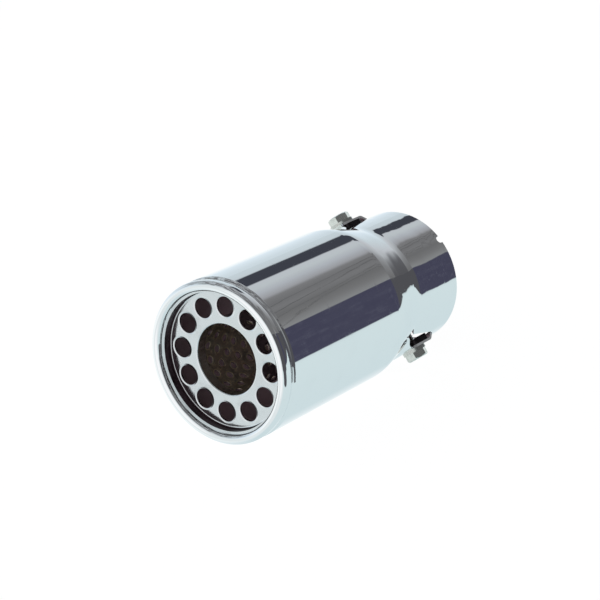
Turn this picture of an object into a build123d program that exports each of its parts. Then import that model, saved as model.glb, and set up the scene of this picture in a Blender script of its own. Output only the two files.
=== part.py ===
from build123d import *
import os
from math import cos, radians, sqrt, tan

# Clamp-on exhaust tip. Its axis lies along Y: the tail pipe goes in at Y = 0 from the +Y side,
# and the outlet faces -Y. +Z is up, and the origin is the centre of the inlet mouth.

# Driving dimensions in millimetres and degrees.

# Outer shell, one drawn and polished sheet
shell_sheet = 1.2
body_diameter = 76.0
body_length = 84.3
shoulder_radius = 26.0
cone_length = 21.1
neck_radius = 22.0
inlet_bore = 64.0
collar_length = 33.6
collar_draft = 0.6
mouth_length = 8.5
rim_notch_width = 3.6
rim_notch_depth = 2.8
rim_notch_angle = 46.5

# Rolled lip at the outlet, with the pinched groove behind it
lip_radius = 2.4
lip_step = 0.1
lip_crown_radius = 12.0
lip_crown_length = 4.5
groove_run = 1.05
groove_round = 1.5
groove_fillet = 0.6
lip_leg_length = 7.4

# Recessed front plate, a shallow cup with a ring of holes
plate_sheet = 0.8
plate_recess = 7.35
plate_corner = 1.0
plate_flange_length = 4.0
plate_hole_diameter = 9.5
plate_hole_circle_diameter = 50.0
plate_hole_count = 12
outlet_diameter = 32.8
outlet_edge_radius = 1.0
outlet_collar_length = 5.5

# Perforated inner tube on the plate's collar
tube_sheet = 0.8
tube_length = 45.0
tube_fit = 0.05
tube_seat_gap = 0.3
tube_hole_diameter = 3.4
tube_hole_sides = 8
tube_holes_per_row = 16
tube_rows = 6
tube_row_pitch = 6.0
tube_plain_end = 7.5

# Bridges pressed out of the collar, which carry the clamp bolts. Lengths along the axis are
# measured from the bolt.
upper_bridge_angle = 127.8
lower_bridge_angle = -52.2
bridge_width = 14.0
bridge_rise = 2.0
bolt_from_rim = 20.0
ramp_angle = 20.0
ramp_top = 9.3
ramp_bend_radius = 14.0
ramp_length = 22.0
ramp_root_half_width = 19.5
ramp_neck = 4.5
ramp_flare = 1.4
rear_bend = 7.4
rear_bend_radius = 3.0
rear_foot_angle = 40.0
window_half_width = 13.0
window_taper_end = 9.0
window_shoulder = 5.5
window_rear = 9.2
window_corner = 1.6
slit_root_half_width = 15.0
slit_root = 13.3
slit_tip_half_width = 19.8
slit_tip = 17.0
slit_base = 23.3

# Clamp bolts, washers and tapped plates
bolt_diameter = 6.0
bolt_length = 12.0
bolt_tip_chamfer = 0.7
head_across_flats = 10.0
head_height = 3.6
head_crown_diameter = 9.2
head_bevel_angle = 30.0
upper_head_angle = -5.0
lower_head_angle = 3.0
washer_diameter = 12.0
washer_bore = 6.4
washer_thickness = 1.6
bridge_hole = 6.6
thread_clearance = 0.05
nut_width = 17.0
nut_front = 6.6
nut_rear = 5.5
nut_corner = 3.0
nut_pipe_clearance = 0.1

# Where each bridge stands round the tip, and how its bolt's head is turned
bridge_angles = {"upper": upper_bridge_angle, "lower": lower_bridge_angle}
head_angles = {"upper": upper_head_angle, "lower": lower_head_angle}

# Sizes that follow from those above
body_radius = body_diameter / 2
bore_radius = inlet_bore / 2
collar_radius = bore_radius + shell_sheet
neck_y = -collar_length
neck_r = collar_radius - (collar_length - mouth_length) * tan(radians(collar_draft))
shoulder_y = neck_y - cone_length
body_front_y = shoulder_y - body_length
groove_y = body_front_y - groove_run
lip_y = groove_y - lip_crown_length
crest_r = body_radius - lip_step
groove_r = crest_r - lip_crown_radius + sqrt(lip_crown_radius**2 - lip_crown_length**2)
lip_bore_radius = crest_r - 2 * lip_radius
outlet_y = lip_y - lip_radius
plate_y = outlet_y + plate_recess
outlet_radius = outlet_diameter / 2
flange_radius = lip_bore_radius - plate_sheet
tube_bore_radius = outlet_radius + plate_sheet + tube_fit
tube_radius = tube_bore_radius + tube_sheet
tube_y = plate_y + plate_sheet + tube_seat_gap
bolt_y = -bolt_from_rim
bridge_top = collar_radius + bridge_rise
bridge_underside = bridge_top - shell_sheet
head_seat = bridge_top + washer_thickness
bolt_radius = bolt_diameter / 2
nut_bottom = bore_radius + nut_pipe_clearance
ramp_end_y = bolt_y - ramp_top
ramp_front_y = ramp_end_y - ramp_length
window_rear_y = bolt_y + window_rear

# Tools that cut outwards from the axis start here, and reach past every wall.
cut_start = bore_radius / 2
through = body_diameter

# Points nearer than this lie at one place.
same_place = 1e-6


def rounded(line, y, radius):
    """Round the corners that a line has at one distance along Y."""
    return line.fillet_2d(radius, [v for v in line.vertices() if abs(v.X - y) < same_place])


def turned_sheet(line, thickness, side):
    """Turn a sheet about Y. The line is one of its faces, as (distance along Y, radius)."""
    outline = line.offset_2d(thickness, kind=Kind.ARC, side=side)
    return revolve(Plane.YZ * make_face(outline.edges()), Axis.Y)


def wall_edges():
    """Return the shell's outer surface in section, from the sized inlet mouth to the front of the body."""
    corners = [
        (0, collar_radius),
        (-mouth_length, collar_radius),
        (neck_y, neck_r),
        (shoulder_y, body_radius),
        (body_front_y, body_radius),
    ]
    line = Wire([Edge.make_line(*pair) for pair in zip(corners, corners[1:])])
    return rounded(rounded(line, neck_y, neck_radius), shoulder_y, shoulder_radius).edges()


def lip_edges():
    """Return the groove, the rolled lip and the lip's inner leg in section."""
    half = lip_crown_length / 2
    crown_centre_r = crest_r - lip_crown_radius
    crown_middle = (lip_y + half, crown_centre_r + sqrt(lip_crown_radius**2 - half**2))
    crest = (lip_y, crest_r)
    leg_start = (lip_y, lip_bore_radius)
    return [
        Edge.make_line((body_front_y, body_radius), (groove_y, groove_r)),
        Edge.make_three_point_arc((groove_y, groove_r), crown_middle, crest),
        Edge.make_three_point_arc(crest, (outlet_y, crest_r - lip_radius), leg_start),
        Edge.make_line(leg_start, (lip_y + lip_leg_length, lip_bore_radius)),
    ]


def face_below(line, base):
    """Return the face between a line and a lower base line, in the line's own plane."""
    front, rear = sorted([line @ 0, line @ 1], key=lambda point: point.X)
    below = Polyline((front.X, front.Y), (front.X, base), (rear.X, base), (rear.X, rear.Y))
    return make_face(line.edges() + below.edges())


def shell_space():
    """Return the space inside the shell's wall as a solid of revolution."""
    inner = Wire(wall_edges()).offset_2d(shell_sheet, kind=Kind.ARC, side=Side.LEFT, closed=False)
    return revolve(Plane.YZ * face_below(inner, 0), Axis.Y)


def bridge_skin():
    """Return the bridge's outer surface from the side: the ramp, the flat top and the rear foot."""
    ramp_drop = ramp_length * tan(radians(ramp_angle))
    foot_run = (bridge_top - bore_radius) / tan(radians(rear_foot_angle))
    foot_y = bolt_y + rear_bend
    line = Wire([
        Edge.make_line((ramp_front_y, bridge_top - ramp_drop), (ramp_end_y, bridge_top)),
        Edge.make_line((ramp_end_y, bridge_top), (foot_y, bridge_top)),
        Edge.make_line((foot_y, bridge_top), (foot_y + foot_run, bore_radius)),
    ])
    return rounded(rounded(line, ramp_end_y, ramp_bend_radius), foot_y, rear_bend_radius)


def bridge_plan():
    """Return the bridge seen from above its bolt: a strip that widens in a curve to its foot."""
    half = bridge_width / 2
    neck_y = bolt_y - ramp_neck
    root = (ramp_root_half_width, bolt_y - slit_base)
    with BuildSketch() as plan:
        with BuildLine():
            Polyline((0, 0), (0, ramp_front_y), (ramp_root_half_width, ramp_front_y), root)
            Spline(root, (half, neck_y), tangents=[(-1, ramp_flare), (0, 1)])
            Polyline((half, neck_y), (half, 0), (0, 0))
        make_face()
        mirror(about=Plane.YZ)
    return plan.sketch


def window_plan():
    """Return the opening under the bridge seen from above: the pointed slits, then a tapering window."""
    root = (ramp_root_half_width, bolt_y - slit_base)
    slit_end = (slit_root_half_width, bolt_y - slit_root)
    corner = (window_taper_end, window_rear_y - window_corner)
    with BuildSketch() as plan:
        with BuildLine():
            Polyline((0, ramp_front_y), (ramp_root_half_width, ramp_front_y), root)
            Polyline(root, (slit_tip_half_width, bolt_y - slit_tip), slit_end)
            Spline(slit_end, (window_half_width, bolt_y - window_shoulder), corner)
            Polyline(corner, (window_taper_end - window_corner, window_rear_y), (0, window_rear_y))
            Line((0, window_rear_y), (0, ramp_front_y))
        make_face()
        mirror(about=Plane.YZ)
    return plan.sketch


def window_cutter():
    """Return the tool that opens the wall under the bridge, up to the middle of the bridge's sheet."""
    middle = bridge_skin().offset_2d(shell_sheet / 2, kind=Kind.ARC, side=Side.RIGHT, closed=False)
    below = extrude(Plane.YZ * face_below(middle, cut_start), amount=through, both=True)
    return below & extrude(window_plan(), amount=through)


def bridge():
    """Return one bridge as it stands above the axis, cut flush with the inside of the shell."""
    outline = bridge_skin().offset_2d(shell_sheet, kind=Kind.ARC, side=Side.RIGHT)
    slab = extrude(Plane.YZ * make_face(outline.edges()), amount=through, both=True)
    return (slab & extrude(bridge_plan(), amount=through)) - shell_space()


def drilled(diameter):
    """Return the tool for a hole on the bolt's axis."""
    return Pos(0, bolt_y, cut_start) * extrude(Circle(diameter / 2), amount=through)


def turned_to(shape, angle):
    """Turn a shape that stands above the axis to its place round the tip. At 90 it stays on top."""
    return Rot(0, 90 - angle, 0) * shape


def rim_notch():
    """Return the tool for the small round-bottomed notch in the inlet rim."""
    bottom = Pos(0, rim_notch_width / 2 - rim_notch_depth) * Circle(rim_notch_width / 2)
    sides = Pos(0, rim_notch_width / 2 - rim_notch_depth / 2) * Rectangle(rim_notch_width, rim_notch_depth)
    return Pos(0, 0, cut_start) * extrude(bottom + sides, amount=through)


def outer_shell():
    """Return the drawn shell with its rolled lip, shoulder, neck, collar and two bridges."""
    line = Wire(wall_edges() + lip_edges())
    line = rounded(rounded(line, body_front_y, groove_round), groove_y, groove_fillet)
    shell = turned_sheet(line, shell_sheet, Side.LEFT)
    cutter = window_cutter()
    strap = bridge()
    for angle in bridge_angles.values():
        shell = shell - turned_to(cutter, angle)
        shell = shell + turned_to(strap, angle)
        shell = shell - turned_to(drilled(bridge_hole), angle)
    return shell - turned_to(rim_notch(), rim_notch_angle)


def front_plate():
    """Return the recessed plate: a cup whose centre is drawn back into a collar, with its ring of holes."""
    line = Wire([
        Edge.make_line((plate_y + outlet_collar_length, outlet_radius), (plate_y, outlet_radius)),
        Edge.make_line((plate_y, outlet_radius), (plate_y, flange_radius)),
        Edge.make_line((plate_y, flange_radius), (plate_y - plate_flange_length, flange_radius)),
    ])
    inner_corner = [v for v in line.vertices() if abs(v.X - plate_y) < same_place and v.Y < flange_radius - same_place]
    line = line.fillet_2d(outlet_edge_radius, inner_corner)
    outer_corner = [v for v in line.vertices() if abs(v.X - plate_y) < same_place and v.Y > flange_radius - same_place]
    line = line.fillet_2d(plate_corner, outer_corner)
    plate = turned_sheet(line, plate_sheet, Side.RIGHT)
    face = Plane((0, plate_y, 0), x_dir=(1, 0, 0), z_dir=(0, -1, 0))
    holes = Sketch() + PolarLocations(plate_hole_circle_diameter / 2, plate_hole_count) * Circle(plate_hole_diameter / 2)
    return plate - extrude(face * holes, amount=2 * plate_sheet, both=True)


def perforated_tube():
    """Return the inner tube, with staggered rows of small holes behind its plain front end."""
    tube = Plane.XZ * (Circle(tube_radius) - Circle(tube_bore_radius))
    tube = Pos(0, tube_y + tube_length, 0) * extrude(tube, amount=tube_length)
    punch = extrude(RegularPolygon(tube_hole_diameter / 2, tube_hole_sides), amount=2 * tube_sheet, both=True)
    pitch = 360 / tube_holes_per_row
    punches = []
    for row in range(tube_rows):
        y = tube_y + tube_plain_end + row * tube_row_pitch
        for step in range(tube_holes_per_row):
            angle = (step + row % 2 / 2) * pitch
            punches.append(turned_to(Pos(0, y, tube_bore_radius) * punch, angle))
    return tube - punches


def clamp_bolt(turn):
    """Return a hexagon bolt above the axis, its head seated on the washer."""
    corner = head_across_flats / 2 / cos(radians(30))
    crown = head_crown_diameter / 2
    bevel = (corner - crown) * tan(radians(head_bevel_angle))
    hexagon = extrude(Rot(0, 0, turn) * RegularPolygon(corner, 6), amount=head_height)
    bevelled = Cone(corner, crown, bevel, align=(Align.CENTER, Align.CENTER, Align.MIN))
    blank = Cylinder(corner, head_height - bevel, align=(Align.CENTER, Align.CENTER, Align.MIN))
    head = hexagon & (blank + Pos(0, 0, head_height - bevel) * bevelled)
    shank = Cylinder(bolt_radius, bolt_length, align=(Align.CENTER, Align.CENTER, Align.MAX))
    shank = chamfer(shank.edges().sort_by(Axis.Z)[0], bolt_tip_chamfer)
    return Pos(0, bolt_y, head_seat) * (head + shank)


def washer():
    """Return a plain washer on top of the bridge."""
    ring = Circle(washer_diameter / 2) - Circle(washer_bore / 2)
    return Pos(0, bolt_y, bridge_top) * extrude(ring, amount=washer_thickness)


def nut_plate():
    """Return the tapped plate under the bridge: flat above, and hollowed below to clear the tail pipe."""
    blank = Pos(0, (nut_rear - nut_front) / 2) * RectangleRounded(nut_width, nut_front + nut_rear, nut_corner)
    blank = Pos(0, bolt_y) * (blank - Circle(bolt_radius + thread_clearance))
    pipe = Rot(90, 0, 0) * Cylinder(nut_bottom, through)
    return extrude(blank, amount=bridge_underside) - Pos(0, bolt_y, 0) * pipe


def pieces():
    """Return every piece by its name."""
    result = {
        "outer_shell": outer_shell(),
        "front_plate": front_plate(),
        "perforated_tube": perforated_tube(),
    }
    for side, angle in bridge_angles.items():
        result[side + "_bolt"] = turned_to(clamp_bolt(head_angles[side]), angle)
        result[side + "_washer"] = turned_to(washer(), angle)
        result[side + "_nut_plate"] = turned_to(nut_plate(), angle)
    return result


os.makedirs("parts", exist_ok=True)
for name, piece in pieces().items():
    export_step(piece, "parts/" + name + ".step")
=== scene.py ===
"""Looks of a clamp-on exhaust tip: its finishes, its cut threads, the light round it and the camera."""
from __future__ import annotations

import logging
import math
from dataclasses import dataclass
from enum import Enum
from typing import Any
import bmesh
import bpy
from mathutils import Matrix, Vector


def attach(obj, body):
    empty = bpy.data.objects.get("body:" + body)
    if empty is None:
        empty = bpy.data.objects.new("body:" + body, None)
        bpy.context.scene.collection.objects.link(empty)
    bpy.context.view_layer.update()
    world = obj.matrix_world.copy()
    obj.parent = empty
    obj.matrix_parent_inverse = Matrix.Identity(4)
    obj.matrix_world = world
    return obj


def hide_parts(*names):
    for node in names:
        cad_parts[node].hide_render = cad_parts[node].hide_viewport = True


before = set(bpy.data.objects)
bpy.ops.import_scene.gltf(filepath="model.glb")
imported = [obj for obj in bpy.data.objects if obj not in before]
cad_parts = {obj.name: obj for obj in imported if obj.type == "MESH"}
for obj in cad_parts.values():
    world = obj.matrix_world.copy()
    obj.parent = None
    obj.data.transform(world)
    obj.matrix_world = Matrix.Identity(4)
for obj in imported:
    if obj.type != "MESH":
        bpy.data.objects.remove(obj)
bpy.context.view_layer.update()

logging.basicConfig(level=logging.INFO, format="%(name)s: %(message)s")
log = logging.getLogger("exhaust_tip")

MM = 0.001
Colour = tuple[float, float, float]
Point = tuple[float, float, float]
Span = tuple[float, float]
Panels = tuple[tuple[float, Colour], ...]
UPPER_BOLT_AXIS: Point = (-0.6129, 0.0, 0.7902)
LOWER_BOLT_AXIS: Point = (0.6129, 0.0, -0.7902)


class Channel(Enum):
    """The inputs of the surface shader that a finish may vary."""

    COLOUR = "Base Color"
    ROUGHNESS = "Roughness"
    METALLIC = "Metallic"
    NORMAL = "Normal"


@dataclass(frozen=True)
class Band:
    """A stretch of a number from low to high, whose soft edges are that wide and centred on its ends."""

    low: float
    high: float
    soft: float


@dataclass(frozen=True)
class Noise:
    """A noise: stretch scales the Object coordinates first, and span is the part widened to 0 to 1."""

    scale: float
    detail: float = 2.0
    roughness: float = 0.5
    stretch: Point | None = None
    span: Span | None = None


class Signal:
    """A number that varies over a surface, as one socket of a node tree."""

    def __init__(self, tree: Tree, socket: bpy.types.NodeSocket) -> None:
        """Keep the tree and the socket that carries the number."""
        self.tree = tree
        self.socket = socket

    def _math(self, operation: str, *values: Any) -> Signal:
        """Add one Math node and return its result."""
        return self.tree.signal("ShaderNodeMath", {"operation": operation}, dict(enumerate(values)))

    def __add__(self, other: Any) -> Signal:
        """Return self + other."""
        return self._math("ADD", self, other)

    __radd__ = __add__

    def __sub__(self, other: Any) -> Signal:
        """Return self - other."""
        return self._math("SUBTRACT", self, other)

    def __rsub__(self, other: Any) -> Signal:
        """Return other - self."""
        return self._math("SUBTRACT", other, self)

    def __mul__(self, other: Any) -> Signal:
        """Return self * other."""
        return self._math("MULTIPLY", self, other)

    __rmul__ = __mul__

    def __truediv__(self, other: Any) -> Signal:
        """Return self / other."""
        return self._math("DIVIDE", self, other)

    def atan2(self, other: Any) -> Signal:
        """Return the angle of the point (other, self) in radians."""
        return self._math("ARCTAN2", self, other)

    def cosine(self) -> Signal:
        """Return the cosine of an angle in radians."""
        return self._math("COSINE", self)

    def sine(self) -> Signal:
        """Return the sine of an angle in radians."""
        return self._math("SINE", self)

    def off_grid(self) -> Signal:
        """Return how far the number lies from the nearest whole number, from -0.5 to 0.5."""
        return self - self._math("ROUND", self)

    def smaller(self, other: Signal) -> Signal:
        """Return the smaller of the two."""
        return self._math("MINIMUM", self, other)

    def hypot(self, other: Signal) -> Signal:
        """Return the length of the pair (self, other)."""
        return self._math("SQRT", self * self + other * other)

    def ramp(self, low: float, high: float) -> Signal:
        """Return a smooth step from 0 at low to 1 at high.

        Args:
            low: Where the step starts. It may be more than high, for a falling step.
            high: Where the step ends.

        Returns:
            The step, from 0 to 1.
        """
        ends = (low, high, 0.0, 1.0) if low <= high else (high, low, 1.0, 0.0)
        settings = {"interpolation_type": "SMOOTHSTEP", "clamp": True}
        return self.tree.signal("ShaderNodeMapRange", settings, dict(enumerate((self, *ends))))

    def band(self, band: Band) -> Signal:
        """Return a smooth step up at the band's low end and down at its high end.

        Args:
            band: Where it starts and ends, and how soft it is.

        Returns:
            1 inside the band and 0 outside it.
        """
        half = band.soft / 2
        rise = self.ramp(band.low - half, band.low + half)
        return rise * self.ramp(band.high + half, band.high - half)


class Tree:
    """A node tree, with one method that adds any node."""

    FIRST_COLOUR = 6
    SECOND_COLOUR = 7
    MIXED_COLOUR = 2
    NEAR_ZERO = 1e-6

    def __init__(self, owner: Any) -> None:
        """Start an empty node tree.

        Args:
            owner: The material or world that the tree belongs to.
        """
        owner.use_nodes = True
        self.nodes = owner.node_tree.nodes
        self.links = owner.node_tree.links
        self.nodes.clear()

    def node(self, kind: str, settings: dict[str, Any] | None = None,
             inputs: dict[Any, Any] | None = None) -> bpy.types.Node:
        """Add a node.

        Args:
            kind: The node's type.
            settings: Its properties, which are set first. "stops" fills a colour ramp.
            inputs: The values or links of its sockets, by name or number.

        Returns:
            The node.
        """
        made = self.nodes.new(kind)
        for name, value in (settings or {}).items():
            if name == "stops":
                self._fill(made.color_ramp, value)
            else:
                setattr(made, name, value)
        for name, value in (inputs or {}).items():
            self.feed(made.inputs[name], value)
        return made

    def _fill(self, ramp: bpy.types.ColorRamp, stops: list[tuple[float, Colour]]) -> None:
        """Give a colour ramp its stops.

        Args:
            ramp: The ramp.
            stops: The place, from 0 to 1, and the colour of each stop.
        """
        for _ in range(len(stops) - len(ramp.elements)):
            ramp.elements.new(1.0)
        for element, (place, colour) in zip(ramp.elements, stops):
            element.position = place
            element.color = (*colour, 1.0)

    def feed(self, socket: bpy.types.NodeSocket, value: Any) -> None:
        """Set a socket to a value, or link it.

        Args:
            socket: The input socket.
            value: A plain value, a colour, a signal or another node's socket.
        """
        if isinstance(value, Signal):
            self.links.new(value.socket, socket)
        elif isinstance(value, bpy.types.NodeSocket):
            self.links.new(value, socket)
        elif socket.type == "RGBA":
            socket.default_value = (*value, 1.0)
        else:
            socket.default_value = value

    def signal(self, kind: str, settings: dict[str, Any], inputs: dict[Any, Any]) -> Signal:
        """Add a node and return its first output as a signal."""
        return Signal(self, self.node(kind, settings, inputs).outputs[0])

    def blend(self, share: Signal, first: Any, second: Any) -> bpy.types.NodeSocket:
        """Mix two colours.

        Args:
            share: How much of the second there is, from 0 to 1.
            first: The colour at a share of 0.
            second: The colour at a share of 1.

        Returns:
            The socket of the mixed colour.
        """
        inputs = {"Factor": share, self.FIRST_COLOUR: first, self.SECOND_COLOUR: second}
        return self.node("ShaderNodeMix", {"data_type": "RGBA"}, inputs).outputs[self.MIXED_COLOUR]

    def either(self, share: Any, first: bpy.types.Node, second: bpy.types.Node) -> bpy.types.Node:
        """Return a Mix Shader node that goes from the first shader to the second."""
        return self.node("ShaderNodeMixShader", {}, {0: share, 1: first.outputs[0], 2: second.outputs[0]})

    def parts(self, vector: Any) -> tuple[Signal, ...]:
        """Return the X, Y and Z of a vector."""
        made = self.node("ShaderNodeSeparateXYZ", {}, {0: vector})
        return tuple(Signal(self, output) for output in made.outputs)

    def place(self) -> bpy.types.NodeSocket:
        """Return the Object coordinates, which are the row frame in metres."""
        return self.node("ShaderNodeTexCoord").outputs["Object"]

    def noise(self, look: Noise, vector: Any = None) -> Signal:
        """Return a noise over the surface.

        Args:
            look: The noise's scale, detail and roughness, with its stretch and span where it has them.
            vector: The coordinates that it is made in, where they aren't the Object coordinates.

        Returns:
            The noise, from 0 to 1.
        """
        if vector is None:
            vector = self.place()
        if look.stretch:
            vector = self.node("ShaderNodeMapping", {}, {"Vector": vector, "Scale": look.stretch}).outputs[0]
        made = self.signal("ShaderNodeTexNoise", {}, {
            "Vector": vector, "Scale": look.scale, "Detail": look.detail, "Roughness": look.roughness,
        })
        return made.ramp(*look.span) if look.span else made

    def radius(self) -> Signal:
        """Return the distance from the tip's axis in metres."""
        x, _, z = self.parts(self.place())
        return x.hypot(z)

    def inward(self) -> Signal:
        """Measure which way the surface faces.

        Returns:
            How far it faces the tip's axis, from -1 facing out to 1 facing in.
        """
        x, _, z = self.parts(self.place())
        nx, _, nz = self.parts(self.node("ShaderNodeNewGeometry").outputs["True Normal"])
        return (nx * x + nz * z) / (x.hypot(z) + self.NEAR_ZERO) * -1.0

    def bump(self, height: Signal, depth: float, under: Any = None) -> bpy.types.NodeSocket:
        """Return a normal from a height.

        Args:
            height: The height as a share of the depth.
            depth: The depth in metres.
            under: The normal of another bump that lies under this one.

        Returns:
            The socket of the normal.
        """
        inputs = {"Height": height, "Distance": depth, "Strength": 1.0}
        if under is not None:
            inputs["Normal"] = under
        return self.node("ShaderNodeBump", {}, inputs).outputs[0]


@dataclass(frozen=True)
class MetalFinish:
    """What every metal finish here has: a name, a colour and a roughness."""

    name: str
    colour: Colour
    roughness: float

    def material(self) -> bpy.types.Material:
        """Make the finish's material.

        Returns:
            The material, metal all through but for what varied() returns.
        """
        made = bpy.data.materials.new(self.name)
        tree = Tree(made)
        shader = tree.node("ShaderNodeBsdfPrincipled", {}, {
            "Base Color": self.colour, "Metallic": 1.0, "Roughness": self.roughness,
        })
        for channel, value in self.varied(tree).items():
            tree.feed(shader.inputs[channel.value], value)
        tree.node("ShaderNodeOutputMaterial", {}, {"Surface": shader.outputs[0]})
        return made

    def varied(self, tree: Tree) -> dict[Channel, Any]:
        """Return what varies over the surface. The plain finish varies nothing."""
        return {}


@dataclass(frozen=True)
class MirrorPolish(MetalFinish):
    """Drawn steel polished to a mirror outside: faint waves of the draw, hairlines, haze and wipe marks.

    The inside was never polished and is dull and browned by the gas. The polish ends inside the lip.
    """

    haze: float = 0.05
    waves: Noise = Noise(1.0, 1.5, stretch=(40.0, 60.0, 40.0))
    body_wave: float = 0.03 * MM
    collar_wave: float = 0.42 * MM
    body_rear: float = -60.0 * MM
    cone: float = 15.0 * MM
    hairlines: Noise = Noise(1.0, stretch=(60.0, 9000.0, 60.0))
    hairline_depth: float = 0.0003 * MM
    smears: Noise = Noise(55.0, 4.0, 0.6, span=(0.45, 0.75))
    smear_share: float = 0.25
    smear_shade: float = 0.94
    wipes: Noise = Noise(1.0, 4.0, 0.65, (70.0, 520.0, 70.0), (0.55, 0.75))
    wipe_haze: float = 2.0
    draws: Noise = Noise(1.0, 1.0, stretch=(900.0, 7.0, 900.0), span=(0.66, 0.72))
    inner_colour: Colour = (0.50, 0.36, 0.39)
    inner_roughness: float = 0.5
    inner_grime: float = 0.6
    inner_facing: Span = (0.0, 0.1)
    polish_end: float = -143.0 * MM
    polish_edge: float = 0.5 * MM

    def varied(self, tree: Tree) -> dict[Channel, Any]:
        """Work out the haze, the waves, the hairlines and the dull inside.

        Args:
            tree: The material's node tree.

        Returns:
            The value of each channel that varies.
        """
        _, along, _ = tree.parts(tree.place())
        cone = along.ramp(self.body_rear, self.body_rear + self.cone)
        wave_depth = self.body_wave + cone * self.collar_wave
        smears = tree.noise(self.smears)
        haze = smears + tree.noise(self.wipes) * self.wipe_haze + tree.noise(self.draws)
        lines = tree.bump(tree.noise(self.hairlines), self.hairline_depth)
        smeared = tuple(self.smear_shade * part for part in self.colour)
        inside = tree.inward().ramp(*self.inner_facing)
        inside = inside * along.ramp(self.polish_end, self.polish_end + self.polish_edge)
        tint = tree.blend(smears * self.smear_share, self.colour, smeared)
        return {
            Channel.COLOUR: tree.blend(inside, tint, self.inner_colour),
            Channel.METALLIC: 1.0 - inside * self.inner_grime,
            Channel.ROUGHNESS: self.roughness + haze * self.haze + inside * self.inner_roughness,
            Channel.NORMAL: tree.bump(tree.noise(self.waves) * wave_depth * (1.0 / MM), MM, lines),
        }


@dataclass(frozen=True)
class SoftPolish(MetalFinish):
    """Pressed steel plate with a soft polish. Its punched edges turn in, and its flange wall in the recess
    is painted dark as shade.
    """

    dusk: Colour = (0.34, 0.33, 0.33)
    film: Noise = Noise(90.0, 5.0, 0.6, span=(0.48, 0.8))
    film_share: float = 0.3
    film_dull: float = 0.12
    grain: Noise = Noise(1800.0, 3.0, 0.6)
    grain_depth: float = 0.002 * MM
    grain_dull: float = 0.05
    recess_shade: Colour = (0.045, 0.026, 0.032)
    recess_dull: float = 0.3
    flange_start: float = 31.5 * MM
    flange_edge: float = 0.3 * MM
    flange_facing: Span = (0.3, 0.6)
    hole_count: int = 12
    hole_circle: float = 25.0 * MM
    hole_edge: float = 4.75 * MM
    edge_turn: float = 0.9 * MM
    edge_inside: float = 0.3
    edge_depth: float = 0.32 * MM
    edge_darkening: float = 0.1

    def _edges(self, tree: Tree) -> Signal:
        """Find the ring of holes.

        Args:
            tree: The material's node tree.

        Returns:
            A step from 0 at a hole's edge to 1 on the flat plate.
        """
        x, _, z = tree.parts(tree.place())
        radius = x.hypot(z)
        step = math.tau / self.hole_count
        angle = (z.atan2(x) / step).off_grid() * step
        from_hole = (radius * angle.cosine() - self.hole_circle).hypot(radius * angle.sine())
        return from_hole.ramp(self.hole_edge - self.edge_inside * self.edge_turn,
                              self.hole_edge + self.edge_turn)

    def varied(self, tree: Tree) -> dict[Channel, Any]:
        """Work out the uneven polish, the turned-in edges, the grain and the flange wall painted dark as
        shade.

        Args:
            tree: The material's node tree.

        Returns:
            The value of each channel that varies.
        """
        edges = self._edges(tree)
        film = tree.noise(self.film)
        grain = tree.noise(self.grain)
        # Painted shade: the inward-facing flange wall inside the recess is painted dark.
        flange = tree.radius().ramp(self.flange_start, self.flange_start + self.flange_edge)
        flange = flange * tree.inward().ramp(*self.flange_facing)
        # The colour goes darker towards each hole's edge, and in the film's patches.
        worn = tree.blend(film * self.film_share + (1.0 - edges) * self.edge_darkening, self.colour, self.dusk)
        dull = film * self.film_dull + grain * self.grain_dull + flange * self.recess_dull
        return {
            Channel.COLOUR: tree.blend(flange, worn, self.recess_shade),
            Channel.ROUGHNESS: self.roughness + dull,
            Channel.NORMAL: tree.bump(edges, self.edge_depth, tree.bump(grain, self.grain_depth)),
        }


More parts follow.
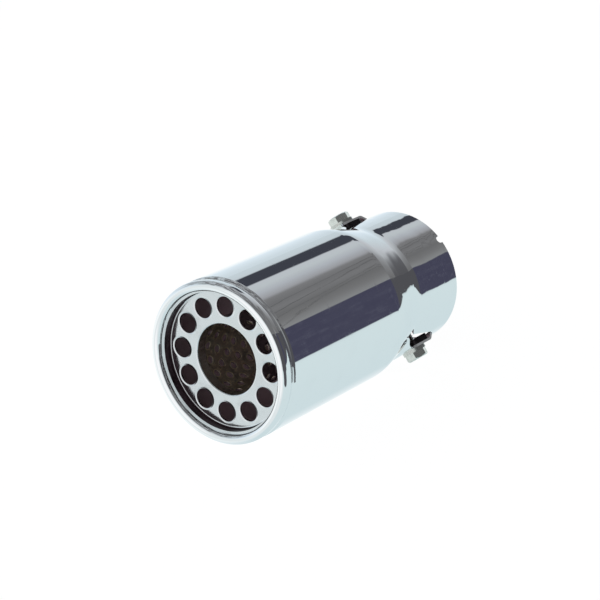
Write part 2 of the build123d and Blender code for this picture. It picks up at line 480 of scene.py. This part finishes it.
@dataclass(frozen=True)
class BrownedSteel(MetalFinish):
    """Plain mill steel browned by heat: sooty patches, a rough skin and bare metal round its holes. Its
    outside is painted dark, as shade in the closed chamber round it.
    """

    patches: Noise = Noise(160.0, 5.0, 0.65)
    soot: Colour = (0.10, 0.08, 0.07)
    soot_span: Span = (0.46, 0.70)
    soot_share: float = 0.8
    dull_span: Span = (0.35, 0.7)
    dull_rise: float = 0.2
    metal: float = 0.85
    crust_span: Span = (0.42, 0.7)
    crust: float = 0.3
    oxide: Noise = Noise(420.0, 4.0, 0.6, span=(0.5, 0.72))
    straw: Colour = (0.56, 0.47, 0.33)
    skin: Noise = Noise(2600.0, 3.0, 0.6)
    skin_depth: float = 0.03 * MM
    bore: float = 17.3 * MM
    bore_edge: float = 0.3 * MM
    chamber_shade: Colour = (0.17, 0.12, 0.13)
    outer_dull: float = 0.3
    holes_round: int = 16
    arc_pitch: float = 6.8 * MM
    row_pitch: float = 6.0 * MM
    first_row: float = -131.0 * MM
    rim: Band = Band(1.55 * MM, 2.2 * MM, 0.3 * MM)
    rim_share: float = 0.7
    rim_gloss: float = 0.1
    rim_height: float = 4.0

    def _from_hole(self, tree: Tree, half_step: float) -> Signal:
        """Measure to the holes of every second row.

        Args:
            tree: The material's node tree.
            half_step: 0 for the first row and those in line with it, 0.5 for the rows between.

        Returns:
            The distance in metres to the nearest hole's centre.
        """
        x, along, z = tree.parts(tree.place())
        turn = (x.atan2(z) * (self.holes_round / math.tau) - half_step).off_grid()
        row = ((along - self.first_row) / (2.0 * self.row_pitch) - half_step).off_grid()
        return (turn * self.arc_pitch).hypot(row * (2.0 * self.row_pitch))

    def varied(self, tree: Tree) -> dict[Channel, Any]:
        """Work out the sooty patches, the straw-coloured oxide, the bare rims, the rough skin and the
        outside painted dark as shade.

        Args:
            tree: The material's node tree.

        Returns:
            The value of each channel that varies.
        """
        patches = tree.noise(self.patches)
        rims = self._from_hole(tree, 0.0).smaller(self._from_hole(tree, 0.5)).band(self.rim)
        # Painted shade: the tube's outside, in the closed chamber inside the shell, is painted dark.
        outside = tree.radius().ramp(self.bore, self.bore + self.bore_edge)
        plain = tree.blend(tree.noise(self.oxide), self.colour, self.straw)
        sooty = tree.blend(patches.ramp(*self.soot_span) * self.soot_share, plain, self.soot)
        bare = tree.blend(rims * self.rim_share, sooty, self.straw)
        dull = self.roughness + patches.ramp(*self.dull_span) * self.dull_rise
        metal = self.metal - patches.ramp(*self.crust_span) * self.crust
        return {
            Channel.COLOUR: tree.blend(outside, bare, self.chamber_shade),
            Channel.ROUGHNESS: dull - rims * self.rim_gloss + outside * self.outer_dull,
            Channel.METALLIC: metal - outside * self.crust,
            Channel.NORMAL: tree.bump(tree.noise(self.skin) + rims * self.rim_height, self.skin_depth),
        }


@dataclass(frozen=True)
class ZincPlate(MetalFinish):
    """Zinc plating: a satin grey-green skin with a fine spangle and duller patches."""

    dull: Colour = (0.50, 0.53, 0.50)
    spangle: Noise = Noise(1500.0, 4.0, 0.65)
    spangle_depth: float = 0.003 * MM
    spangle_dull: float = 0.06
    patches: Noise = Noise(380.0, 3.0, 0.55, span=(0.45, 0.75))
    patch_share: float = 0.5
    patch_dull: float = 0.1

    def varied(self, tree: Tree) -> dict[Channel, Any]:
        """Work out the spangle and the duller patches.

        Args:
            tree: The material's node tree.

        Returns:
            The value of each channel that varies.
        """
        spangle = tree.noise(self.spangle)
        patches = tree.noise(self.patches)
        return {
            Channel.COLOUR: tree.blend(patches * self.patch_share, self.colour, self.dull),
            Channel.ROUGHNESS: self.roughness + patches * self.patch_dull + spangle * self.spangle_dull,
            Channel.NORMAL: tree.bump(spangle, self.spangle_depth),
        }


@dataclass(frozen=True)
class ThreadedZinc(ZincPlate):
    """Zinc plating on a bolt, with painted shade darkening the roots of its thread."""

    axis: Point = UPPER_BOLT_AXIS
    bolt_y: float = -20.0 * MM
    head_seat: float = 36.8 * MM
    seat_edge: float = 0.2 * MM
    root_shade: Colour = (0.10, 0.10, 0.095)
    root_span: Span = (2.9 * MM, 2.5 * MM)
    root_shade_share: float = 0.8

    def varied(self, tree: Tree) -> dict[Channel, Any]:
        """Work out the plating's own values, with painted shade in the thread's roots.

        Args:
            tree: The material's node tree.

        Returns:
            The value of each channel that varies.
        """
        values = super().varied(tree)
        x, along, z = tree.parts(tree.place())
        lean_x, _, lean_z = self.axis
        from_axis = (x * lean_z - z * lean_x).hypot(along - self.bolt_y)
        shank = (x * lean_x + z * lean_z).ramp(self.head_seat, self.head_seat - self.seat_edge)
        # Painted shade: the colour darkens in the thread's roots, below the crest.
        root_shaded = shank * from_axis.ramp(*self.root_span) * self.root_shade_share
        values[Channel.COLOUR] = tree.blend(root_shaded, values[Channel.COLOUR], self.root_shade)
        return values


@dataclass(frozen=True)
class BlackOxideAndShade(MetalFinish):
    """Steel with a black oxide skin, oily and unevenly dull. On the tapped plates its black also stands in
    for the shade seen through the windows under the bridges.
    """

    worn: Colour = (0.10, 0.09, 0.09)
    patches: Noise = Noise(300.0, 4.0, 0.6, span=(0.45, 0.75))
    patch_share: float = 0.5
    patch_dull: float = 0.15
    grain: Noise = Noise(2200.0, 3.0, 0.6)
    grain_depth: float = 0.01 * MM

    def varied(self, tree: Tree) -> dict[Channel, Any]:
        """Work out the oily patches and the grain.

        Args:
            tree: The material's node tree.

        Returns:
            The value of each channel that varies.
        """
        patches = tree.noise(self.patches)
        return {
            Channel.COLOUR: tree.blend(patches * self.patch_share, self.colour, self.worn),
            Channel.ROUGHNESS: self.roughness + patches * self.patch_dull,
            Channel.NORMAL: tree.bump(tree.noise(self.grain), self.grain_depth),
        }


@dataclass
class SheetShell:
    """The drawn shell, one sheet with its rolled lip, bridges and inlet collar."""

    node: str = "outer_shell"
    finish: MetalFinish = MirrorPolish("polished_shell", (0.93, 0.945, 0.955), 0.02)

    def dress(self) -> None:
        """Give the shell its mirror polish."""
        cover(self.node, self.finish)


@dataclass
class OutletInsert:
    """The recessed plate with its ring of holes, and the perforated tube on its collar."""

    plate: str = "front_plate"
    tube: str = "perforated_tube"
    plate_finish: MetalFinish = SoftPolish("polished_plate", (0.76, 0.79, 0.80), 0.12)
    tube_finish: MetalFinish = BrownedSteel("plain_steel", (0.33, 0.27, 0.20), 0.35)

    def dress(self) -> None:
        """Give the plate and the tube their finishes."""
        cover(self.plate, self.plate_finish)
        cover(self.tube, self.tube_finish)


@dataclass
class ClampSet:
    """One clamp bolt, whose shank gets its cut thread here, with its washer and its tapped plate.

    Heights are distances from the tip's axis along the bolt's axis.
    """

    side: str
    axis: Point
    zinc: Colour = (0.74, 0.77, 0.73)
    zinc_roughness: float = 0.2
    washer_painted_shade: float = 0.8
    black: Colour = (0.035, 0.03, 0.033)
    black_roughness: float = 0.4
    bolt_y: float = -20.0 * MM
    head_seat: float = 36.8 * MM
    tip: float = 24.8 * MM
    plain_neck: float = 0.6 * MM
    crest: float = 2.98 * MM
    root: float = 2.42 * MM
    pitch: float = 1.0 * MM
    steps: int = 24
    spare_turns: int = 2
    weld: float = 0.001 * MM
    thread_weld: float = 0.01 * MM
    cut_reach: float = 0.0001 * MM
    sharp: float = 32.0

    def build(self) -> bpy.types.Object:
        """Make the bolt with its thread: the frame's own head on a new threaded shank.

        Returns:
            The bolt, which takes the place of the frame's own.
        """
        mesh = bmesh.new()
        mesh.from_mesh(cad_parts[f"{self.side}_bolt"].data)
        bmesh.ops.remove_doubles(mesh, verts=mesh.verts, dist=self.weld)
        neck = self.head_seat - self.plain_neck
        self._cut(mesh, neck, keep_above=True)
        thread = self._thread(neck, self.tip)
        shank = bpy.data.meshes.new("shank")
        thread.to_mesh(shank)
        thread.free()
        mesh.from_mesh(shank)
        bpy.data.meshes.remove(shank)
        for edge in mesh.edges:
            edge.smooth = edge.calc_face_angle(0.0) < math.radians(self.sharp)
        for face in mesh.faces:
            face.smooth = True
        bolt = new_piece(f"{self.side}_threaded_bolt", mesh)
        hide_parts(f"{self.side}_bolt")
        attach(bolt, f"{self.side}_clamp_bolt")
        return bolt

    def _thread(self, top: float, bottom: float) -> bmesh.types.BMesh:
        """Make a threaded rod by a screw motion of the thread's profile.

        Args:
            top: The height of its upper end.
            bottom: The height of its lower end.

        Returns:
            The rod, closed at both ends.
        """
        rod = bmesh.new()
        axis, centre = self._line()
        across = Vector((0.0, 1.0, 0.0))
        start = centre + axis * (bottom - self.spare_turns * self.pitch) + across * self.crest
        last = bmesh.ops.create_vert(rod, co=start)["vert"][0]
        turns = int((top - bottom) / self.pitch) + 2 * self.spare_turns
        for step in range(2 * turns):
            last = bmesh.ops.extrude_vert_indiv(rod, verts=[last])["verts"][0]
            depth = (self.root - self.crest) * (1 if step % 2 == 0 else -1)
            bmesh.ops.translate(rod, verts=[last], vec=axis * (self.pitch / 2) + across * depth)
        bmesh.ops.spin(rod, geom=rod.verts[:] + rod.edges[:], cent=centre, axis=axis, angle=math.tau,
                       dvec=axis * (self.pitch / self.steps), steps=self.steps)
        bmesh.ops.remove_doubles(rod, verts=rod.verts, dist=self.thread_weld)
        self._cut(rod, top, keep_above=False)
        self._cut(rod, bottom, keep_above=True)
        bmesh.ops.recalc_face_normals(rod, faces=rod.faces)
        return rod

    def _line(self) -> tuple[Vector, Vector]:
        """Return the bolt's axis, and the point on it that is nearest to the tip's axis."""
        return Vector(self.axis).normalized(), Vector((0.0, self.bolt_y, 0.0))

    def _cut(self, mesh: bmesh.types.BMesh, height: float, keep_above: bool) -> None:
        """Cut a mesh across the bolt's axis, drop one side and close the cut.

        Args:
            mesh: The mesh, which is changed.
            height: The height of the cut.
            keep_above: Whether the side nearer the head is kept.
        """
        axis, centre = self._line()
        cut = bmesh.ops.bisect_plane(
            mesh, geom=mesh.verts[:] + mesh.edges[:] + mesh.faces[:], dist=self.cut_reach,
            plane_co=centre + axis * height, plane_no=axis,
            clear_inner=keep_above, clear_outer=not keep_above)
        edges = [item for item in cut["geom_cut"] if isinstance(item, bmesh.types.BMEdge)]
        bmesh.ops.holes_fill(mesh, edges=edges, sides=0)

    def dress(self) -> None:
        """Build the threaded bolt, and give the bolt its zinc, the washer a darker copy of that zinc as
        painted shade under the head, and the plate its black oxide, whose black is partly painted shade.
        """
        bolt = ThreadedZinc(f"{self.side}_bolt_zinc", self.zinc, self.zinc_roughness, axis=self.axis,
                            bolt_y=self.bolt_y, head_seat=self.head_seat)
        # Painted shade: the washer is a darker copy of the bolt's zinc, shaded under the head.
        shaded = tuple(self.washer_painted_shade * part for part in self.zinc)
        washer = ZincPlate(f"{self.side}_washer_zinc", shaded, self.zinc_roughness)
        # The tapped plate's black is partly painted shade: it darkens what is seen through the window under
        # the bridge.
        plate = BlackOxideAndShade(f"{self.side}_black_steel", self.black, self.black_roughness)
        self.build().data.materials.append(bolt.material())
        cover(f"{self.side}_washer", washer)
        cover(f"{self.side}_nut_plate", plate)


@dataclass
class TableTop:
    """The white table that the tip lies on. It is seen as white with the tip's faint shadow on it."""

    ground: float = -38.0 * MM
    reach: float = 3.0
    lit: Colour = (0.9, 0.9, 0.9)
    shadowed: Colour = (0.12, 0.12, 0.12)
    glow: Colour = (0.965, 0.965, 0.965)

    def build(self) -> None:
        """Make the table, which lights the tip from below but isn't mirrored in it."""
        mesh = bmesh.new()
        bmesh.ops.create_grid(mesh, x_segments=1, y_segments=1, size=self.reach)
        bmesh.ops.translate(mesh, verts=mesh.verts, vec=(0.0, 0.0, self.ground))
        table = new_piece("table_top", mesh)
        material = bpy.data.materials.new("table_white")
        tree = Tree(material)
        path = tree.node("ShaderNodeLightPath").outputs
        lit = tree.node("ShaderNodeBsdfDiffuse", {}, {"Color": self.lit})
        faint = tree.node("ShaderNodeBsdfDiffuse", {}, {"Color": self.shadowed})
        glow = tree.node("ShaderNodeEmission", {}, {"Color": self.glow, "Strength": 1.0})
        shown = tree.node("ShaderNodeAddShader", {}, {0: faint.outputs[0], 1: glow.outputs[0]})
        clear = tree.node("ShaderNodeBsdfTransparent")
        mirrored = tree.either(path["Is Glossy Ray"], tree.either(path["Is Camera Ray"], lit, shown), clear)
        tree.node("ShaderNodeOutputMaterial", {}, {"Surface": mirrored.outputs[0]})
        table.data.materials.append(material)


@dataclass(frozen=True)
class Cable:
    """A thin dark line across the valance, which the shell mirrors as a line that climbs along it."""

    turn: float
    climb: float
    width: float


@dataclass
class Tent:
    """A light tent whose cloth runs round the tip's axis.

    A turn is an angle in degrees round the tip's axis, from +X towards +Z. A place along is the Y part
    of the direction, from -1 before the outlet to 1 behind the inlet. The tent is bright below and on
    the far side, grey above, and open to a dark room level with the tip on the near side. A valance
    hangs over the strip of the tent that the straight body mirrors to the camera.
    """

    cloth: Panels = (
        (-180.0, (0.80, 0.89, 0.95)),
        (-166.0, (0.97, 1.0, 1.0)),
        (-143.0, (0.95, 1.0, 1.0)),
        (-119.0, (0.76, 0.84, 0.865)),
        (-100.0, (0.63, 0.745, 0.77)),
        (-16.0, (0.66, 0.77, 0.785)),
        (38.0, (0.16, 0.16, 0.163)),
        (62.0, (0.22, 0.223, 0.23)),
        (84.0, (0.33, 0.34, 0.355)),
        (96.0, (0.44, 0.46, 0.48)),
        (115.0, (0.53, 0.55, 0.58)),
        (145.0, (0.60, 0.68, 0.72)),
        (169.0, (0.70, 0.80, 0.87)),
        (180.0, (0.80, 0.89, 0.95)),
    )
    strip: Band = Band(0.695, 0.832, 0.016)
    strip_turn: Span = (34.0, 35.0)
    valance: Panels = (
        (36.0, (0.245, 0.25, 0.255)),
        (47.0, (0.18, 0.18, 0.183)),
        (57.0, (0.15, 0.15, 0.153)),
        (66.0, (0.185, 0.185, 0.19)),
        (74.0, (0.165, 0.165, 0.17)),
        (83.0, (0.20, 0.20, 0.205)),
        (87.0, (0.34, 0.345, 0.365)),
        (97.0, (0.44, 0.465, 0.50)),
        (106.0, (0.51, 0.55, 0.57)),
        (118.0, (0.52, 0.545, 0.58)),
        (146.0, (0.58, 0.66, 0.70)),
        (180.0, (0.76, 0.86, 0.93)),
    )
    folds: Noise = Noise(7.0, 3.0)
    cables: tuple[Cable, ...] = (
        Cable(52.0, 420.0, 0.6), Cable(58.0, 300.0, 0.5), Cable(67.0, 260.0, 0.7), Cable(74.0, 150.0, 0.5),
    )
    cable_middle: float = 0.765
    cable_sway: float = 12.0
    cable_soft: float = 0.4
    cable_shade: Colour = (0.07, 0.07, 0.07)
    cable_share: float = 0.75
    slate: Colour = (0.048, 0.052, 0.067)
    slate_turn: Band = Band(115.5, 136.0, 3.0)
    beam: Colour = (0.12, 0.12, 0.125)
    beam_turn: Band = Band(50.0, 160.0, 36.0)
    beam_rear: Span = (0.68, 0.55)
    beam_front: Span = (-0.75, -0.5)
    beam_folds: Span = (0.38, 0.58)
    room: Colour = (0.080, 0.080, 0.088)
    room_low: Span = (-13.0, -11.0)
    room_high: Span = (36.5, 35.0)
    room_front: Span = (-0.72, -0.6)
    sill: Band = Band(-0.5, 0.45, 0.1)
    sill_drop: float = 15.0
    far_turn: Band = Band(-12.0, 116.0, 14.0)
    far_along: Span = (0.955, 0.978)
    far_share: float = 0.85
    navy: Colour = (0.056, 0.056, 0.092)
    scuff: Colour = (0.15, 0.155, 0.20)
    scuffs: Noise = Noise(1.0, 4.0, 0.7, span=(0.50, 0.80))
    scuff_turn: float = 9.0
    scuff_along: float = 420.0
    front: Colour = (0.78, 0.83, 0.84)
    front_along: Span = (-0.55, -0.75)
    opening: Colour = (0.97, 0.98, 0.99)
    opening_along: Span = (-0.80, -0.90)
    backdrop: Colour = (1.0, 1.0, 1.0)

    def build(self) -> None:
        """Make the tent as the world round the tip, and white where the camera sees it."""
        world = bpy.data.worlds.new("tent")
        bpy.context.scene.world = world
        tree = Tree(world)
        path = tree.node("ShaderNodeLightPath").outputs
        lit = tree.node("ShaderNodeBackground", {}, {"Color": self._painted(tree), "Strength": 1.0})
        white = tree.node("ShaderNodeBackground", {}, {"Color": self.backdrop, "Strength": 1.0})
        shown = tree.either(path["Is Camera Ray"], lit, white)
        tree.node("ShaderNodeOutputWorld", {}, {"Surface": shown.outputs[0]})

    def _painted(self, tree: Tree) -> bpy.types.NodeSocket:
        """Paint the tent in every direction, the cloth first and the openings over it.

        Args:
            tree: The world's node tree.

        Returns:
            The colour socket.
        """
        direction = tree.node("ShaderNodeTexCoord").outputs["Generated"]
        across, along, up = tree.parts(direction)
        turn = up.atan2(across) * (180.0 / math.pi)
        folds = tree.noise(self.folds, direction)
        strip = along.band(self.strip)
        valance = self._valance(tree, turn, along, folds)
        colour = self._cloth(tree, turn, self.cloth)
        colour = tree.blend(strip * turn.ramp(*self.strip_turn), colour, valance)
        beams = turn.band(self.beam_turn) * along.ramp(*self.beam_rear) * along.ramp(*self.beam_front)
        colour = tree.blend(beams * folds.ramp(*self.beam_folds), colour, self.beam)
        far_end = turn.band(self.far_turn) * along.ramp(*self.far_along)
        colour = tree.blend(far_end * self.far_share, colour, self.room)
        low_edge = (turn + along.band(self.sill) * self.sill_drop).ramp(*self.room_low)
        room = low_edge * turn.ramp(*self.room_high) * along.ramp(*self.room_front)
        colour = tree.blend(room, colour, tree.blend(strip, self.room, self._navy(tree, turn, along)))
        colour = tree.blend(along.ramp(*self.front_along), colour, self.front)
        return tree.blend(along.ramp(*self.opening_along), colour, self.opening)

    def _valance(self, tree: Tree, turn: Signal, along: Signal, folds: Signal) -> bpy.types.NodeSocket:
        """Paint the valance, with its cables and its dark slate band.

        Args:
            tree: The world's node tree.
            turn: The turn of the direction.
            along: The place along.
            folds: The noise that makes the cables sway.

        Returns:
            The colour socket.
        """
        colour = self._cloth(tree, turn, self.valance)
        for cable in self.cables:
            middle = self.cable_middle * cable.climb - cable.turn
            place = turn - along * cable.climb + middle + folds * self.cable_sway - self.cable_sway / 2
            line = place.band(Band(-cable.width / 2, cable.width / 2, self.cable_soft))
            colour = tree.blend(line * self.cable_share, colour, self.cable_shade)
        return tree.blend(turn.band(self.slate_turn), colour, self.slate)

    def _navy(self, tree: Tree, turn: Signal, along: Signal) -> bpy.types.NodeSocket:
        """Paint the navy part of the room that the straight body mirrors, with its pale scuffs.

        Args:
            tree: The world's node tree.
            turn: The turn of the direction.
            along: The place along.

        Returns:
            The colour socket.
        """
        spread = {0: turn / self.scuff_turn, 1: along * self.scuff_along}
        scuffs = tree.noise(self.scuffs, tree.node("ShaderNodeCombineXYZ", {}, spread).outputs[0])
        return tree.blend(scuffs, self.navy, self.scuff)

    def _cloth(self, tree: Tree, turn: Signal, panels: Panels) -> bpy.types.NodeSocket:
        """Paint a cloth that goes smoothly from panel to panel.

        Args:
            tree: The world's node tree.
            turn: The turn of the direction.
            panels: The turn and colour of each panel's middle.

        Returns:
            The colour socket.
        """
        stops = [((angle + 180.0) / 360.0, colour) for angle, colour in panels]
        share = (turn + 180.0) / 360.0
        return tree.node("ShaderNodeValToRGB", {"stops": stops}, {0: share}).outputs[0]


@dataclass
class Viewpoint:
    """The photograph's viewpoint."""

    place: Point = (465.3 * MM, -712.2 * MM, 296.3 * MM)
    forward: Point = (-0.5598, 0.7552, -0.3420)
    focal_px: float = 1794.05
    frame_px: float = 600.0
    sensor_mm: float = 36.0
    clip_start: float = 10.0 * MM

    def build(self) -> None:
        """Make the camera and set the scene's view transform."""
        lens = bpy.data.cameras.new("viewpoint")
        lens.sensor_fit = "HORIZONTAL"
        lens.sensor_width = self.sensor_mm
        lens.lens = self.focal_px / self.frame_px * self.sensor_mm
        lens.clip_start = self.clip_start
        camera = bpy.data.objects.new("viewpoint", lens)
        camera.location = self.place
        camera.rotation_euler = Vector(self.forward).to_track_quat("-Z", "Y").to_euler()
        bpy.context.scene.collection.objects.link(camera)
        bpy.context.scene.camera = camera
        bpy.context.scene.view_settings.view_transform = "Standard"


def cover(node: str, finish: MetalFinish) -> None:
    """Give a piece of the frame one finish.

    Args:
        node: The name of the piece.
        finish: The finish.
    """
    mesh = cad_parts[node].data
    mesh.materials.clear()
    mesh.materials.append(finish.material())


def new_piece(name: str, mesh: bmesh.types.BMesh) -> bpy.types.Object:
    """Turn a bmesh into an object at the origin.

    Args:
        name: The object's name.
        mesh: The bmesh, which is freed.

    Returns:
        The object.
    """
    data = bpy.data.meshes.new(name)
    mesh.to_mesh(data)
    mesh.free()
    made = bpy.data.objects.new(name, data)
    bpy.context.scene.collection.objects.link(made)
    return made


def main() -> None:
    """Build the camera, the table, the tent and the pieces in order."""
    Viewpoint().build()
    TableTop().build()
    log.info("table top built")
    Tent().build()
    log.info("tent built")
    SheetShell().dress()
    log.info("shell dressed")
    OutletInsert().dress()
    log.info("plate and tube dressed")
    for side, axis in (("upper", UPPER_BOLT_AXIS), ("lower", LOWER_BOLT_AXIS)):
        ClampSet(side, axis).dress()
        log.info("%s bolt threaded and its clamp dressed", side)


if __name__ == "__main__":
    main()
